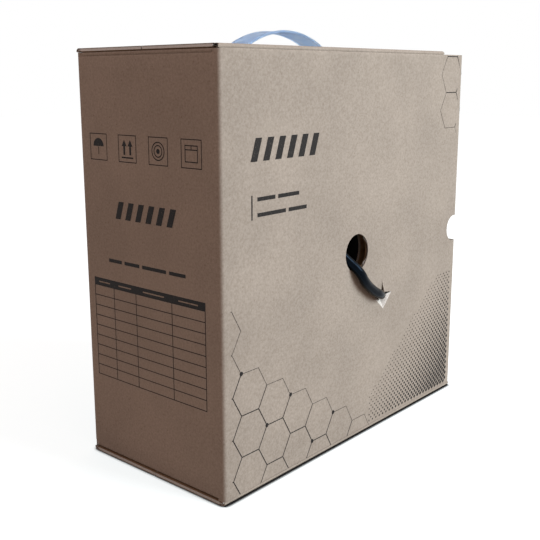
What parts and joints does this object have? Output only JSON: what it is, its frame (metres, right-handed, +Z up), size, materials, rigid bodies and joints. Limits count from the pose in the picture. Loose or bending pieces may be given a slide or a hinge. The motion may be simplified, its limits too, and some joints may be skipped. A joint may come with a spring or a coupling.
{
  "type": "cable spool box",
  "caption": "Square corrugated carton with a strap handle, holding a spool of cable that turns on a fixed tube and pays out through a round hole in the front face.",
  "frame": {"origin": "on the floor, under the middle of the carton", "axes": "+Z up, +X right along the wide front face with the payout hole, which looks towards -Y"},
  "size_m": [0.36, 0.1769, 0.3783],
  "materials": {
    "kraft_board": "brown kraft liner on single-wall corrugated board, matte, with dark flecks",
    "blue_polyethylene": "translucent pale blue polyethylene strap, soft gloss",
    "plywood": "bare sanded plywood with a visible ply edge",
    "wound_paper_tube": "spiral-wound kraft paper tube, matte",
    "zinc_steel": "zinc-plated steel, satin",
    "black_jacket": "extruded black polyethylene cable jacket, glossy"
  },
  "bodies": {
    "carton": {"front_panel": "kraft_board", "back_panel": "kraft_board", "left_panel": "kraft_board", "right_panel": "kraft_board", "glue_tab": "kraft_board", "bottom_front_flap": "kraft_board", "bottom_back_flap": "kraft_board", "bottom_left_flap": "kraft_board", "bottom_right_flap": "kraft_board", "support_board": "plywood", "spindle_tube": "wound_paper_tube", "cable_lead_inside": "black_jacket", "cable_lead_outside": "black_jacket"},
    "front_lid": {"top_front_flap": "kraft_board"},
    "back_lid": {"top_back_flap": "kraft_board", "handle_strap": "blue_polyethylene"},
    "left_lid": {"top_left_flap": "kraft_board"},
    "right_lid": {"top_right_flap": "kraft_board"},
    "spool": {"front_flange": "plywood", "rear_flange": "plywood", "spool_barrel": "wound_paper_tube", "tie_bolt_1": "zinc_steel", "tie_bolt_2": "zinc_steel", "tie_bolt_3": "zinc_steel", "tie_bolt_4": "zinc_steel", "tie_nut_1": "zinc_steel", "tie_nut_2": "zinc_steel", "tie_nut_3": "zinc_steel", "tie_nut_4": "zinc_steel", "cable_pack": "black_jacket", "cable_outer_layer": "black_jacket"}
  },
  "joints": [
    {"name": "front_flap_fold", "type": "hinge", "parent": "carton", "child": "front_lid", "pos_m": [0, -0.083, 0.36], "axis": [1, 0, 0], "range_deg": [0, 250]},
    {"name": "back_flap_fold", "type": "hinge", "parent": "carton", "child": "back_lid", "pos_m": [0, 0.083, 0.36], "axis": [-1, 0, 0], "range_deg": [0, 235]},
    {"name": "left_flap_fold", "type": "hinge", "parent": "carton", "child": "left_lid", "pos_m": [-0.1767, 0, 0.3537], "axis": [0, 1, 0], "range_deg": [0, 25]},
    {"name": "right_flap_fold", "type": "hinge", "parent": "carton", "child": "right_lid", "pos_m": [0.1767, 0, 0.3537], "axis": [0, -1, 0], "range_deg": [0, 90]},
    {"name": "spool_spin", "type": "hinge", "parent": "carton", "child": "spool", "pos_m": [-0.0035, 0, 0.179], "axis": [0, 1, 0], "continuous": true, "deforming": ["cable_lead_inside"]}
  ]
}
